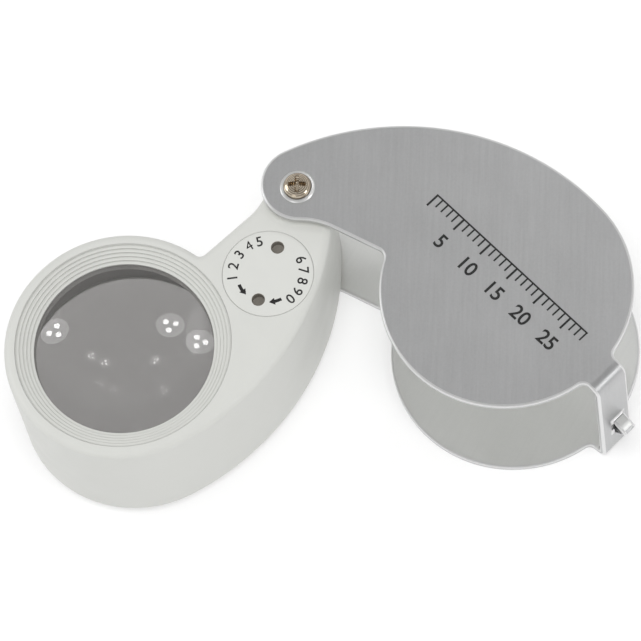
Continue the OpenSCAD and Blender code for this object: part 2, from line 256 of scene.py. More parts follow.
def figure(name, text, size, weight, at, spin, foot, thick, material):
    """A printed number as a thin solid. spin turns it from reading along +X, in radians, and at is
    the middle of its base line. The font's 4 closes up when it is made heavier, so it stays light."""
    words = bpy.data.curves.new("figure", "FONT")
    words.body = text
    words.size = size
    words.align_x = "CENTER"
    words.extrude = thick / 2
    words.offset = 0.0 if "4" in text else weight
    words.resolution_u = 6
    carrier = bpy.data.objects.new("figure", words)
    bpy.context.scene.collection.objects.link(carrier)
    mesh = bpy.data.meshes.new_from_object(carrier.evaluated_get(bpy.context.evaluated_depsgraph_get()))
    bpy.data.objects.remove(carrier)
    mesh.transform(Matrix.Translation((at[0], at[1], foot + thick / 2)) @ Matrix.Rotation(spin, 4, "Z"))
    mesh.materials.clear()
    mesh.materials.append(material)
    piece = bpy.data.objects.new(name, mesh)
    bpy.context.scene.collection.objects.link(piece)
    return piece


# ---------------------------------------------------------------- shader groups


def socket(node, identifier, out=False):
    for s in node.outputs if out else node.inputs:
        if s.identifier == identifier:
            return s
    raise KeyError(identifier)


class Wiring:
    """A node tree with short words for adding and joining nodes."""

    def __init__(self, tree):
        self.tree = tree

    def add(self, kind, **settings):
        node = self.tree.nodes.new("ShaderNode" + kind)
        for key, value in settings.items():
            setattr(node, key, value)
        return node

    def join(self, source, target):
        self.tree.links.new(source, target)

    def feed(self, target, value):
        if isinstance(value, bpy.types.NodeSocket):
            self.join(value, target)
        else:
            target.default_value = value

    def noise(self, vector, scale, detail=4.0, roughness=0.6, distortion=0.0):
        node = self.add("TexNoise")
        self.feed(node.inputs["Vector"], vector)
        self.feed(node.inputs["Scale"], scale)
        node.inputs["Detail"].default_value = detail
        node.inputs["Roughness"].default_value = roughness
        node.inputs["Distortion"].default_value = distortion
        return node.outputs["Fac"]

    def maths(self, operation, *values, clamp=False):
        node = self.add("Math", operation=operation, use_clamp=clamp)
        for target, value in zip(node.inputs, values):
            self.feed(target, value)
        return node.outputs[0]

    def span(self, value, low, high, to_low=0.0, to_high=1.0):
        node = self.add("MapRange")
        self.feed(node.inputs["Value"], value)
        for name, v in (("From Min", low), ("From Max", high), ("To Min", to_low), ("To Max", to_high)):
            self.feed(node.inputs[name], v)
        return node.outputs["Result"]

    def blend(self, amount, a, b):
        node = self.add("Mix", data_type="RGBA")
        self.feed(socket(node, "Factor_Float"), amount)
        self.feed(socket(node, "A_Color"), a)
        self.feed(socket(node, "B_Color"), b)
        return socket(node, "Result_Color", out=True)

    def stretch(self, vector, x, y, z, spin=0.0):
        node = self.add("Mapping", vector_type="POINT")
        self.feed(node.inputs["Vector"], vector)
        node.inputs["Rotation"].default_value = (0, 0, math.radians(spin))
        node.inputs["Scale"].default_value = (x, y, z)
        return node.outputs["Vector"]


def group(name, inputs, outputs):
    """A new shader node group with its sockets, and its two ends."""
    tree = bpy.data.node_groups.new(name, "ShaderNodeTree")
    kinds = {"f": "NodeSocketFloat", "c": "NodeSocketColor", "v": "NodeSocketVector"}
    for label, kind, default in inputs:
        made = tree.interface.new_socket(name=label, in_out="INPUT", socket_type=kinds[kind])
        if default is not None:
            made.default_value = default
    for label, kind in outputs:
        tree.interface.new_socket(name=label, in_out="OUTPUT", socket_type=kinds[kind])
    wiring = Wiring(tree)
    start = tree.nodes.new("NodeGroupInput")
    end = tree.nodes.new("NodeGroupOutput")
    return wiring, start.outputs, end.inputs


def moulded_grain():
    """Fine grain, faint mottling and soft flow shades of a moulded or sprayed surface."""
    w, i, o = group(
        "moulded grain",
        [("Vector", "v", None), ("Colour", "c", (0.7, 0.7, 0.7, 1)), ("Shade", "c", (0.6, 0.6, 0.6, 1)),
         ("Grain", "f", 9000.0), ("Mottle", "f", 350.0), ("Low Gloss", "f", 0.5), ("High Gloss", "f", 0.4)],
        [("Colour", "c"), ("Roughness", "f"), ("Height", "f")],
    )
    mottle = w.noise(i["Vector"], i["Mottle"], 3.0, 0.5, 0.3)
    grain = w.noise(i["Vector"], i["Grain"], 2.0, 0.55)
    both = w.maths("MULTIPLY_ADD", grain, 0.35, w.maths("MULTIPLY", mottle, 0.65))
    w.join(w.blend(w.span(both, 0.3, 0.7), i["Shade"], i["Colour"]), o["Colour"])
    w.join(w.span(mottle, 0.35, 0.65, i["High Gloss"], i["Low Gloss"]), o["Roughness"])
    w.join(grain, o["Height"])
    return w.tree


def brushed_lines():
    """Long fine scratches one way, of several widths, with a few short bright ones."""
    w, i, o = group(
        "brushed lines",
        [("Vector", "v", None), ("Colour", "c", (0.6, 0.6, 0.6, 1)), ("Shade", "c", (0.5, 0.5, 0.5, 1)),
         ("Low Gloss", "f", 0.5), ("High Gloss", "f", 0.35)],
        [("Colour", "c"), ("Roughness", "f"), ("Height", "f")],
    )
    fine = w.noise(w.stretch(i["Vector"], 9000, 300, 300), 1.0, 3.0, 0.7)
    wide = w.noise(w.stretch(i["Vector"], 2200, 90, 90), 1.0, 2.0, 0.5)
    cloud = w.noise(i["Vector"], 120.0, 2.0, 0.5)
    grain = w.noise(i["Vector"], 3600.0, 2.0, 0.6)
    across = w.maths("MULTIPLY_ADD", wide, 0.35, w.maths("MULTIPLY", grain, 0.35))
    lines = w.maths("MULTIPLY_ADD", fine, 0.3, across)
    tone = w.maths("MULTIPLY_ADD", lines, 0.75, w.maths("MULTIPLY", cloud, 0.25))
    w.join(w.blend(w.span(tone, 0.36, 0.64), i["Shade"], i["Colour"]), o["Colour"])
    w.join(w.span(lines, 0.35, 0.65, i["High Gloss"], i["Low Gloss"]), o["Roughness"])
    w.join(lines, o["Height"])
    return w.tree


def handled():
    """Faint smudges and specks left by fingers and dust, as a mask."""
    w, i, o = group(
        "handled", [("Vector", "v", None), ("Size", "f", 160.0), ("Amount", "f", 0.5)], [("Mask", "f")]
    )
    smear = w.span(w.noise(i["Vector"], i["Size"], 5.0, 0.65, 0.8), 0.52, 0.78)
    dust = w.add("TexVoronoi", feature="F1")
    w.join(i["Vector"], dust.inputs["Vector"])
    dust.inputs["Scale"].default_value = 1500.0
    speck = w.span(dust.outputs["Distance"], 0.06, 0.12, 1.0, 0.0)
    w.join(w.maths("MULTIPLY", w.maths("MAXIMUM", smear, speck), i["Amount"], clamp=True), o["Mask"])
    return w.tree


def turned_rings():
    """Concentric tool marks about a vertical line, from the centre given."""
    w, i, o = group(
        "turned rings",
        [("Vector", "v", None), ("Centre", "v", (0, 0, 0)), ("Pitch", "f", 9000.0)],
        [("Mask", "f"), ("Height", "f")],
    )
    away = w.add("VectorMath", operation="SUBTRACT")
    w.join(i["Vector"], away.inputs[0])
    w.join(i["Centre"], away.inputs[1])
    flat = w.add("VectorMath", operation="MULTIPLY")
    w.join(away.outputs[0], flat.inputs[0])
    flat.inputs[1].default_value = (1, 1, 0)
    length = w.add("VectorMath", operation="LENGTH")
    w.join(flat.outputs[0], length.inputs[0])
    wave = w.maths("SINE", w.maths("MULTIPLY", length.outputs["Value"], i["Pitch"]))
    rough = w.noise(w.stretch(i["Vector"], 900, 900, 900), 1.0, 3.0, 0.6)
    height = w.maths("MULTIPLY", w.span(wave, -1.0, 1.0), rough)
    w.join(height, o["Height"])
    w.join(w.span(height, 0.1, 0.6), o["Mask"])
    return w.tree


GROUPS = {}


def shared(make):
    if make.__name__ not in GROUPS:
        GROUPS[make.__name__] = make()
    return GROUPS[make.__name__]


def colour4(c):
    return (c[0], c[1], c[2], 1.0)


class Finish:
    """A material with one Principled shader, and the nodes that its finishes share."""

    def __init__(self, name, **sockets):
        self.material = bpy.data.materials.new(name)
        self.material.use_nodes = True
        self.wiring = Wiring(self.material.node_tree)
        self.shader = self.material.node_tree.nodes["Principled BSDF"]
        for key, value in sockets.items():
            self.shader.inputs[key.replace("_", " ")].default_value = value
        self.place = self.wiring.add("TexCoord").outputs["Object"]

    def use(self, make, **values):
        node = self.wiring.add("Group")
        node.node_tree = shared(make)
        for s in node.inputs:
            key = s.name.replace(" ", "_")
            if key in values:
                self.wiring.feed(s, values[key])
        if "Vector" not in values:
            self.wiring.join(self.place, node.inputs["Vector"])
        return node

    def relief(self, height, strength, distance=0.00005):
        bump = self.wiring.add("Bump")
        bump.inputs["Strength"].default_value = strength
        bump.inputs["Distance"].default_value = distance
        self.wiring.join(height, bump.inputs["Height"])
        self.wiring.join(bump.outputs["Normal"], self.shader.inputs["Normal"])

    def base(self, colour):
        self.wiring.feed(self.shader.inputs["Base Color"], colour)

    def gloss(self, roughness):
        self.wiring.feed(self.shader.inputs["Roughness"], roughness)


def plastic(
    name, colour, shade_colour, gloss=(0.42, 0.52), grain=9000.0, strength=0.12, smudges=0.5, **more
):
    """Moulded or sprayed plastic."""
    f = Finish(name, **more)
    grain_of = f.use(
        moulded_grain, Colour=colour4(colour), Shade=colour4(shade_colour), Grain=grain,
        High_Gloss=gloss[0], Low_Gloss=gloss[1],
    )
    marks = f.use(handled, Amount=smudges)
    f.base(grain_of.outputs["Colour"])
    f.gloss(f.wiring.maths("MULTIPLY_ADD", marks.outputs["Mask"], -0.06, grain_of.outputs["Roughness"]))
    f.relief(grain_of.outputs["Height"], strength)
    return f.material


def brushed(name, colour, shade_colour, gloss=(0.3, 0.42), spin=0.0, strength=0.15, smudges=0.5, **more):
    """Brushed metal, with its lines turned by spin degrees from +Y."""
    f = Finish(name, Metallic=1.0, **more)
    lines = f.use(
        brushed_lines, Vector=f.wiring.stretch(f.place, 1, 1, 1, spin), Colour=colour4(colour),
        Shade=colour4(shade_colour), High_Gloss=gloss[0], Low_Gloss=gloss[1],
    )
    marks = f.use(handled, Amount=smudges)
    f.base(lines.outputs["Colour"])
    f.gloss(f.wiring.maths("MULTIPLY_ADD", marks.outputs["Mask"], 0.08, lines.outputs["Roughness"]))
    f.relief(lines.outputs["Height"], strength, 0.00002)
    return f.material


def turned_metal(name, colour, shade_colour, centre, gloss=0.25, strength=0.2, pitch=9000.0):
    """Metal turned on a lathe about a vertical line."""
    f = Finish(name, Metallic=1.0)
    rings = f.use(turned_rings, Centre=tuple(centre), Pitch=pitch)
    marks = f.use(handled, Amount=0.6)
    f.base(f.wiring.blend(rings.outputs["Mask"], colour4(shade_colour), colour4(colour)))
    f.gloss(f.wiring.maths("MULTIPLY_ADD", marks.outputs["Mask"], 0.12, gloss))
    f.relief(rings.outputs["Height"], strength, 0.00002)
    return f.material


def glass(name, colour, gloss=0.01, ior=1.52):
    """Clear glass or resin, with a trace of dust on it."""
    f = Finish(name, Transmission_Weight=1.0, IOR=ior, Specular_IOR_Level=0.85)
    marks = f.use(handled, Amount=0.05, Size=90.0)
    f.base(f.wiring.blend(marks.outputs["Mask"], colour4(colour), (0.8, 0.8, 0.8, 1)))
    f.gloss(f.wiring.span(marks.outputs["Mask"], 0.0, 1.0, gloss, 0.3))
    return f.material


def ink(name, colour):
    """Printed ink, slightly uneven."""
    f = Finish(name)
    grain = f.use(
        moulded_grain, Colour=colour4(colour), Shade=colour4([c * 0.5 for c in colour]),
        Grain=12000.0, High_Gloss=0.35, Low_Gloss=0.55,
    )
    f.base(grain.outputs["Colour"])
    f.gloss(grain.outputs["Roughness"])
    f.relief(grain.outputs["Height"], 0.3, 0.00001)
    return f.material


# ---------------------------------------------------------------- settings


def length(label, about, mm, low=0.0, high=200.0):
    return bpy.props.FloatProperty(
        name=label, description=about, default=mm * MM, min=low * MM, max=high * MM,
        unit="LENGTH", subtype="DISTANCE", precision=5,
    )


def angle(label, about, degrees):
    return bpy.props.FloatProperty(
        name=label, description=about, default=math.radians(degrees), subtype="ANGLE"
    )


def tint(label, about, rgb):
    return bpy.props.FloatVectorProperty(
        name=label, description=about, default=rgb, size=3, min=0.0, max=1.0, subtype="COLOR"
    )


def amount(label, about, value, high=1.0):
    return bpy.props.FloatProperty(name=label, description=about, default=value, min=0.0, max=high)


def count(label, about, value, low=1, high=64):
    return bpy.props.IntProperty(name=label, description=about, default=value, min=low, max=high)


class CaseSettings(bpy.types.PropertyGroup):
    """Sizes and finish of the sheet-metal case"""

    reach: length("Reach", "From the pivot to the centre of the round end", 31.5)
    round_r: length("Round End", "Radius of the round end", 16.8)
    tail_r: length("Tail", "Radius of the narrow end round the pivot", 5.2)
    tail_y: length("Tail Offset", "How far the middle of the narrow end stands off the pivot", 0.6)
    sweep_r: length("Long Curve", "Radius of the long outer curve", 35.7)
    neck: length("Neck", "From the centre line to the straight inner edge", 2.9)
    neck_r: length("Neck Curve", "Radius of the hollow beside the tail", 10.0)
    notch_r: length("Notch", "Radius of the hollow beside the round end", 1.3)
    sheet: length("Sheet", "Thickness of the sheet", 1.0)
    rim: length("Rim", "Rounding of the cut edges", 0.34)
    strap_turn: angle("Strap Direction", "Direction of the strap from the centre of the round end", -15.9)
    strap_w: length("Strap Width", "Width of the strap", 5.2)
    strap_r: length("Strap Face", "From the centre of the round end to the strap's outer face", 19.3)
    bend_r: length("Bend", "Outer radius of the bends", 1.8)
    tab_fillet: length("Tab Corner", "Radius of the corners where the strap leaves the plate", 1.0)
    loop_w: length("Loop Width", "Width of the lanyard loop", 2.0)
    loop_out: length("Loop Depth", "How far the lanyard loop stands out", 2.4)
    loop_h: length("Loop Height", "Height of the lanyard loop", 4.5)
    loop_z: length("Loop Middle", "Height of its middle above the base", 8.45)
    loop_shift: length("Loop Shift", "Its distance off the middle of the strap", 0.3)
    loop_drop: length("Loop Drop", "How far its tip lies below its upper root", 1.0)
    loop_t: length("Loop Sheet", "Thickness of the stretched sheet of the loop", 0.8)
    metal: tint("Metal", "Colour of the brushed sheet", (0.565, 0.567, 0.57))
    metal_shade: tint("Metal Shade", "Colour of the darker lines", (0.485, 0.487, 0.49))
    # The inner faces are a lighter copy of the sheet's colour: painted light making up for the shade
    # between the plates.
    inner: tint("Inner Face", "Colour of the faces inside the case", (0.845, 0.85, 0.835))
    # The lighter edge colour is a painted highlight on the rounded rims of the same sheet metal.
    edge: tint("Edge", "Colour of the rounded bright edges", (0.8, 0.8, 0.8))
    brush_turn: angle("Brushing", "Direction of the brushed lines", -27.0)


class BodySettings(bpy.types.PropertyGroup):
    """Sizes and finish of the lens body"""

    reach: length("Reach", "From the pivot to the lens axis", 31.3)
    round_r: length("Round End", "Radius of the round end", 15.95)
    tail_r: length("Tail", "Radius of the narrow end round the pivot", 4.4)
    tail_y: length("Tail Offset", "How far the middle of the narrow end stands off the pivot", 0.0)
    sweep_r: length("Long Curve", "Radius of the long outer curve", 37.5)
    neck: length("Neck", "From the centre line to the straight inner edge", 2.4)
    neck_r: length("Neck Curve", "Radius of the hollow beside the tail", 9.0)
    notch_r: length("Notch", "Radius of the hollow beside the round end", 0.9)
    draft: length("Draft", "How far the foot of the wall stands in from the top", 0.18)
    edge_r: length("Top Edge", "Rounding of the top edge", 1.1)
    skin: length("Skin", "How far the visible skin lies inside the CAD solid", 0.05)
    paint: tint("Paint", "Colour of the body", (0.62, 0.625, 0.597))
    paint_shade: tint("Paint Shade", "Colour of its faint mottling", (0.6, 0.605, 0.577))
    foot: tint("Base", "Colour of the base cover", (0.58, 0.58, 0.56))


class OpticsSettings(bpy.types.PropertyGroup):
    """The bezel and the lenses"""

    bezel_r: length("Bezel", "Outer radius of the bezel", 14.38)
    sight_r: length("Sight", "Radius of the opening over the lens", 12.0)
    steps: count("Steps", "Number of steps in the bezel", 5)
    drop: length("Drop", "Depth of the bezel's steps together", 1.3)
    flat_curve: length("Outer Curve", "Radius of the lenses' outer faces", 60.0)
    steep_curve: length("Inner Curve", "Radius of the lenses' inner faces", 48.0)
    edge: length("Lens Edge", "Thickness of a lens at its rim", 1.5)
    # The grey glass colour is painted shade, standing in for the shaded floor seen through the lenses,
    # which cast no shadow.
    glass: tint("Glass", "Colour of the glass", (0.61, 0.603, 0.598))


class CoverSettings(bpy.types.PropertyGroup):
    """The battery cover, its marks and the plate's printed scale"""

    skirt_r: length("Skirt", "Radius of the threaded skirt", 5.6)
    plate: length("Plate", "Thickness of the cover's plate", 0.8)
    chamfer: length("Chamfer", "Chamfer round the cover and its seat", 0.09)
    hole_r: length("Spanner Hole", "Radius of a spanner hole", 0.85)
    hole_gap: length("Hole Spacing", "Between the two spanner holes", 7.8)
    hole_depth: length("Hole Depth", "Depth of a spanner hole", 1.1)
    hole_turn: angle("Hole Line", "Direction of the line through the holes, in the body's frame", 29.0)
    mark_r: length("Mark Circle", "Radius of the circle that the numbers stand on", 4.1)
    scale_length: count("Scale", "Length of the printed scale, in millimetres", 28)
    scale_start: bpy.props.FloatVectorProperty(
        name="Scale Start", description="Place of the first tick's foot", default=(16.6 * MM, 5.5 * MM),
        size=2, unit="LENGTH", subtype="XYZ",
    )
    scale_turn: angle("Scale Direction", "Direction of the printed scale", -17.2)
    tick: length("Tick", "Height of the longest ticks", 1.9)
    line: length("Line", "Width of a printed line", 0.3)
    number: length("Scale Numbers", "Size of the numbers on the scale", 2.8)
    number_drop: length("Number Drop", "From the foot of the scale to the base line of its numbers", 3.25)
    dial_number: length("Dial Numbers", "Size of the numbers on the cover", 1.95)
    weight: length("Weight", "How far the numbers are thickened", 0.045)
    ink: tint("Ink", "Colour of the print", (0.012, 0.011, 0.011))


class StageSettings(bpy.types.PropertyGroup):
    """Floor, light and camera"""

    azimuth: angle("Azimuth", "Direction of view round the object", 40.33)
    elevation: angle("Elevation", "Height of the camera above the horizon", 67.78)
    roll: angle("Roll", "Roll of the camera", -12.20)
    distance: length("Distance", "From the camera to what it looks at", 810.0, high=5000.0)
    focal: amount("Focal Length", "Focal length in millimetres on a 36 mm sensor", 335.06, 1000.0)
    target: bpy.props.FloatVectorProperty(
        name="Target", description="The point that the camera looks at",
        default=(5.64 * MM, -7.82 * MM, 0.0), size=3, unit="LENGTH", subtype="XYZ",
    )
    floor: tint("Floor", "Colour of the floor", (0.6, 0.6, 0.6))
    room: amount("Room Light", "Strength of the even light from the sides", 0.62, 10.0)
    ceiling: amount("Ceiling Light", "Strength of the even light from overhead", 0.44, 10.0)
    glow: amount("Floor Glow", "Light that the floor gives back by itself", 0.4, 10.0)


# ---------------------------------------------------------------- pieces


def turned_to_rest(points):
    return [BODY_TURN @ Vector((p[0], p[1], p[2])) for p in points]


def flat_ring(points, z):
    return [Vector((p[0], p[1], z)) for p in points]


class LOUPE_OT_case(bpy.types.Operator):
    """Bent sheet of the case: two plates, the strap between them and the lanyard loop"""

    bl_idname = "loupe.case"
    bl_label = "Case"

    def outline(self, s):
        """The plate's outline, and the places in it of the four points on the bend line."""
        end = Vector((s.reach, 0))
        half, f = s.strap_w / 2, s.tab_fillet
        out, side = turn(math.degrees(s.strap_turn)), turn(math.degrees(s.strap_turn) + 90)
        corner = Vector((math.sqrt((s.round_r + f) ** 2 - (half + f) ** 2), half + f))
        bend = s.strap_r - s.bend_r
        local = arc(corner, f, 180 + heading(corner), 270, 0, 10.0)
        local.append(Vector((bend, half)))
        lower = [end + p[0] * out - p[1] * side for p in local[:-1]]
        upper = [end + p[0] * out + p[1] * side for p in local[:-1]]
        stations = self.stations(s)
        line = [end + bend * out + y * side for y in stations]
        tab = lower + line + upper[::-1]
        points = comma(s, tab=tab)
        first = next(i for i, p in enumerate(points) if (p - line[0]).length < 1e-9)
        return points, [first + k for k in range(len(stations))]

    def stations(self, s):
        half, loop = s.strap_w / 2, s.loop_w / 2
        return [-half, s.loop_shift - loop, s.loop_shift + loop, half]

    def strap(self, s, top):
        """Outer face of the strap from the top bend to the bottom bend, as (outwards, height)."""
        u, r = s.strap_r - s.bend_r, s.bend_r
        steps = 8
        turns = [math.pi / 2 * k / steps for k in range(1, steps + 1)]
        bend = [(u + r * math.sin(a), top - r + r * math.cos(a)) for a in turns]
        slot_high, slot_low = s.loop_z + s.loop_h / 2, s.loop_z - s.loop_h / 2
        lower = [(x, top - z) for x, z in reversed(bend)]
        return bend + [(s.strap_r, slot_high), (s.strap_r, slot_low)] + lower, len(bend)

    def loop(self, s):
        """Closed side view of the lanyard loop, as (outwards, height), rooted in the strap."""
        half, t, face = s.loop_h / 2, s.loop_t, s.strap_r
        root, tip, tip_z = face - 0.8 * s.sheet, face + s.loop_out, s.loop_h / 2 - s.loop_drop
        outer = [
            (root, half), (face, half), (face + 0.25 * MM, half - 0.03 * MM),
            (tip - 0.35 * MM, tip_z + 0.18 * MM), (tip - 0.1 * MM, tip_z + 0.02 * MM),
            (tip, tip_z - 0.2 * MM), (tip - 0.08 * MM, tip_z - 0.5 * MM),
            (tip - 0.3 * MM, tip_z - 0.85 * MM), (face + 0.15 * MM, 0.1 * MM - half),
            (face, -half), (root, -half),
        ]
        inner = [
            (root, t - half), (face - 0.25 * MM, t - half), (tip - 1.25 * t, tip_z - 0.9 * t),
            (tip - 1.4 * t, tip_z - 0.7 * t), (face - 0.1 * MM, half - t), (root, half - t),
        ]
        return [(x, s.loop_z + z) for x, z in outer + inner]

    def execute(self, context):
        s = context.scene.loupe_case
        top = SHEET_HIGH.z
        end = Vector((s.reach, 0))
        out, side = turn(math.degrees(s.strap_turn)), turn(math.degrees(s.strap_turn) + 90)

        def at(u, y, z):
            p = end + u * out + y * side
            return Vector((p[0], p[1], z))

        points, line = self.outline(s)
        n = len(points)
        verts = flat_ring(points, top) + flat_ring(points, SHEET_LOW.z)
        faces = [tuple(range(n)), tuple(n + k for k in reversed(range(n)))]
        profile, before = self.strap(s, top)
        stations = self.stations(s)
        rows = [line]
        for u, z in profile:
            rows.append(list(range(len(verts), len(verts) + 4)))
            verts += [at(u, y, z) for y in stations]
        rows.append([n + k for k in line])
        slot_row = before + 1
        for i in range(len(rows) - 1):
            for k in range(3):
                if i == slot_row and k == 1:
                    continue
                a, b = rows[i], rows[i + 1]
                faces.append((a[k], b[k], b[k + 1], a[k + 1]))
        plain = brushed(
            "brushed case", s.metal, s.metal_shade, (0.38, 0.43), math.degrees(s.brush_turn), 0.12, 0.35
        )
        # The rounded edges get a lighter copy of the sheet's colour: a painted highlight along the rims.
        edge_painted_highlight = brushed("case edge", s.edge, [c * 0.95 for c in s.edge], (0.42, 0.5), 0, 0.03, 0.2)
        piece = piece_from("case_bent_sheet", verts, faces, plain)
        # The faces inside the case get a lighter copy of the sheet's colour: painted light against the
        # shade between the plates.
        inner_painted_light = brushed("case inner face", s.inner, [c * 0.95 for c in s.inner], (0.42, 0.5), 0, 0.12, 0.4)
        piece.data.materials.append(edge_painted_highlight)
        piece.data.materials.append(inner_painted_light)
        thick = piece.modifiers.new("sheet", "SOLIDIFY")
        thick.thickness = s.sheet
        thick.offset = -1.0
        thick.use_even_offset = True
        thick.use_quality_normals = True
        bake(piece)
        path = self.loop(s)
        sides = [[at(u, y, z) for u, z in path] for y in stations[1:3]]
        carve(piece, piece_from("tool", *loft(sides)), "UNION")
        post_r = (POST_HIGH.x - POST_LOW.x) / 2 + 0.02 * MM
        carve(piece, turned("tool", [(post_r, -MM), (post_r, s.sheet + MM)], (0, 0), sides=96))
        thread_r = 1.05 * MM
        carve(piece, turned("tool", [(thread_r, top - 3 * MM), (thread_r, top + MM)], (0, 0), sides=48))
        # Faces between the plates take material 2, the painted light of the inner face.
        for face in piece.data.polygons:
            if abs(face.normal.z) > 0.9 and SHEET_LOW.z + s.sheet / 2 < face.center.z < top - s.sheet / 2:
                face.material_index = 2
        shade(piece, 30)
        # The bevel faces take material 1, the painted edge highlight.
        round_edges(piece, s.rim, 50, 4, 1)
        place(piece, "case", "case_metal", "case_sheet")
        return {"FINISHED"}


def paint_node(node, material):
    """Gives a CAD node its finish."""
    mesh = NODES[node].data
    mesh.materials.clear()
    mesh.materials.append(material)


class LOUPE_OT_pivot(bpy.types.Operator):
    """Domed cross-recess screw, and finishes for the post, bush and washers"""

    bl_idname = "loupe.pivot"
    bl_label = "Pivot"

    def execute(self, context):
        top, height = SHEET_HIGH.z, SCREW_HIGH.z - SHEET_HIGH.z
        flange = (SCREW_HIGH.x - SCREW_LOW.x) / 2
        head_r, rise = 1.86 * MM, height - 0.34 * MM
        steps = 16
        seat = [
            (1.5 * MM, top + 0.004 * MM), (flange, top + 0.004 * MM), (flange, top + 0.03 * MM),
            (flange - 0.16 * MM, top + 0.17 * MM), (head_r + 0.06 * MM, top + 0.2 * MM),
            (head_r - 0.02 * MM, top + 0.05 * MM), (1.5 * MM, top + 0.05 * MM),
        ]
        # The seat ring is coloured near white: a painted highlight for the bright ring round the screw
        # head.
        rim = brushed("screw seat", (0.85, 0.85, 0.84), (0.78, 0.78, 0.77), (0.3, 0.38), 0, 0.05, 0.2)
        ring = turned("pivot_screw_seat", seat, (0, 0), rim, 96, closed=True)
        shade(ring, 28)
        place(ring, "case", "screw_metal")
        dome = [
            (head_r * math.sin(a), top + 0.34 * MM + rise * math.cos(a))
            for a in (math.pi / 2 * (1 - k / steps) for k in range(steps))
        ]
        head = [(0.93 * MM, top - 1.5 * MM), (0.93 * MM, top + 0.06 * MM)]
        head += [(head_r - 0.04 * MM, top + 0.06 * MM), (head_r, top + 0.12 * MM)]
        head += dome + [(0.02 * MM, top + 0.34 * MM + rise)]
        nickel, nickel_shade = (0.85, 0.76, 0.62), (0.42, 0.35, 0.27)
        metal = turned_metal("screw nickel", nickel, nickel_shade, (0, 0, 0), 0.14, 0.25, 26000.0)
        screw = turned("pivot_screw_head", head, (0, 0), metal, 96)
        for spin in (27, 117):
            arm = Matrix.Rotation(math.radians(spin), 4, "Z")

            def slot_row(half_length, half_width, z):
                signs = ((-1, -1), (1, -1), (1, 1), (-1, 1))
                return [arm @ Vector((i * half_length, j * half_width, z)) for i, j in signs]

            tool = piece_from("tool", *loft([
                slot_row(0.6 * MM, 0.17 * MM, top + 0.3 * MM),
                slot_row(1.1 * MM, 0.27 * MM, top + 0.9 * MM),
                slot_row(1.55 * MM, 0.34 * MM, top + 1.5 * MM),
            ]))
            carve(screw, tool)
        shade(screw, 28)
        round_edges(screw, 0.05 * MM, 32, 2)
        place(screw, "case", "screw_metal", "pivot_screw")

        satin = turned_metal("post steel", (0.6, 0.58, 0.55), (0.45, 0.44, 0.42), (0, 0, 0), 0.3)
        brass = turned_metal("contact brass", (0.76, 0.58, 0.26), (0.6, 0.44, 0.18), (0, 0, 0), 0.28)
        slick = plastic("washer plastic", (0.75, 0.75, 0.72), (0.68, 0.68, 0.65), (0.3, 0.4))
        for node, material in (
            ("pivot_post", satin), ("friction_washer", slick),
            ("contact_washer", brass), ("pivot_bush", brass),
        ):
            paint_node(node, material)
        return {"FINISHED"}


class LOUPE_OT_body(bpy.types.Operator):
    """Comma-shaped shell of the lens body, with a rounded top edge and slightly tapered walls"""

    bl_idname = "loupe.body"
    bl_label = "Lens Body"

    def execute(self, context):
        s = context.scene.loupe_body
        top, low = SHELL_HIGH.z - 0.015 * MM, SHELL_LOW.z - 0.5 * MM
        wall_top = top - s.edge_r
        taper = s.draft / (wall_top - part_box("base_cover")[0].z)
        levels = [(s.skin + taper * (wall_top - low), low), (s.skin, wall_top)]
        steps = 7
        for k in range(1, steps + 1):
            a = math.pi / 2 * k / steps
            levels.append((s.skin + s.edge_r * (1 - math.cos(a)), wall_top + s.edge_r * math.sin(a)))
        rings = [turned_to_rest(flat_ring(comma(s, inset), z)) for inset, z in levels]
        paint = plastic("body paint", s.paint, s.paint_shade, (0.38, 0.5), 7000.0, 0.1, 0.6)
        shell = bpy.data.objects.new("lens_body_shell", NODES["body_shell"].data.copy())
        context.scene.collection.objects.link(shell)
        bm = bmesh.new()
        bm.from_mesh(shell.data)
        bmesh.ops.remove_doubles(bm, verts=bm.verts, dist=1e-6)
        bmesh.ops.recalc_face_normals(bm, faces=bm.faces)
        bm.to_mesh(shell.data)
        bm.free()
        shell.data.materials.clear()
        shell.data.materials.append(paint)
        carve(shell, piece_from("tool", *loft(rings)), "INTERSECT")
        seat = context.scene.loupe_cover
        r, c = (COVER_HIGH.x - COVER_LOW.x) / 2, seat.chamfer
        groove = [
            (r - 0.5 * MM, top + MM), (r - 0.5 * MM, top - c), (r + 0.04 * MM, top - c),
            (r + 0.06 * MM + c, top + 0.01 * MM), (r + 0.06 * MM + c, top + MM),
        ]
        carve(shell, turned("tool", groove, COVER_AT, sides=128, closed=True))
        shade(shell, 28)
        place(shell, "lens_body", "body_plastic", "body_shell")

        base = plastic("base plastic", s.foot, [c * 0.92 for c in s.foot], (0.4, 0.55), 6000.0, 0.2)
        steel = turned_metal("base screw steel", (0.5, 0.5, 0.5), (0.35, 0.35, 0.35), (0, 0, 0), 0.3)
        paint_node("base_cover", base)
        paint_node("base_screws", steel)
        return {"FINISHED"}


